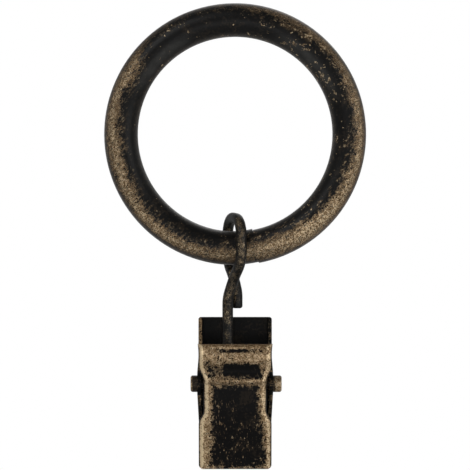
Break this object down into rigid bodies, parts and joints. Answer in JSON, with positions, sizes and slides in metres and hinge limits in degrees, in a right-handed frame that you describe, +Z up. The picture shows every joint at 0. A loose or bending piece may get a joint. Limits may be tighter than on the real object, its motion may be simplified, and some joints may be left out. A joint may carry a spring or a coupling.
{
  "type": "curtain ring with clip",
  "caption": "Round metal curtain ring with a twisted wire link and a sprung, toothed jaw clip that hangs a curtain from a rod.",
  "frame": {"origin": "centre of the ring, where the curtain rod passes", "axes": "+Z up, from the clip to the ring; +Y along the rod, away from the face with the finger lever; +X to the right as that face is seen"},
  "size_m": [0.0512, 0.0126, 0.091],
  "materials": {
    "ring_finish": "antique bronze, rubbed",
    "wire_finish": "antique bronze, dark",
    "clip_finish": "antique bronze, rubbed",
    "pin_finish": "antique bronze, rubbed",
    "spring_steel": "plain spring wire"
  },
  "bodies": {
    "ring": {"ring": "ring_finish"},
    "link": {"wire_link": "wire_finish"},
    "clip": {"back_jaw": "clip_finish", "hinge_pin": "pin_finish", "torsion_spring": "spring_steel"},
    "lever": {"front_jaw": "clip_finish"}
  },
  "joints": [
    {"name": "link_swing", "type": "hinge", "parent": "ring", "child": "link", "pos_m": [0, 0, -0.0223], "axis": [1, 0, 0], "range_deg": [-150, 150]},
    {"name": "clip_swing", "type": "hinge", "parent": "link", "child": "clip", "pos_m": [0, 0, -0.04875], "axis": [1, 0, 0], "range_deg": [-6.5, 9]},
    {"name": "jaw_open", "type": "hinge", "parent": "clip", "child": "lever", "pos_m": [0, 0, -0.04875], "axis": [-1, 0, 0], "range_deg": [0, 20], "stiffness_Nm_per_rad": 0.14, "springref_deg": -20.05, "deforming": ["torsion_spring"]}
  ]
}
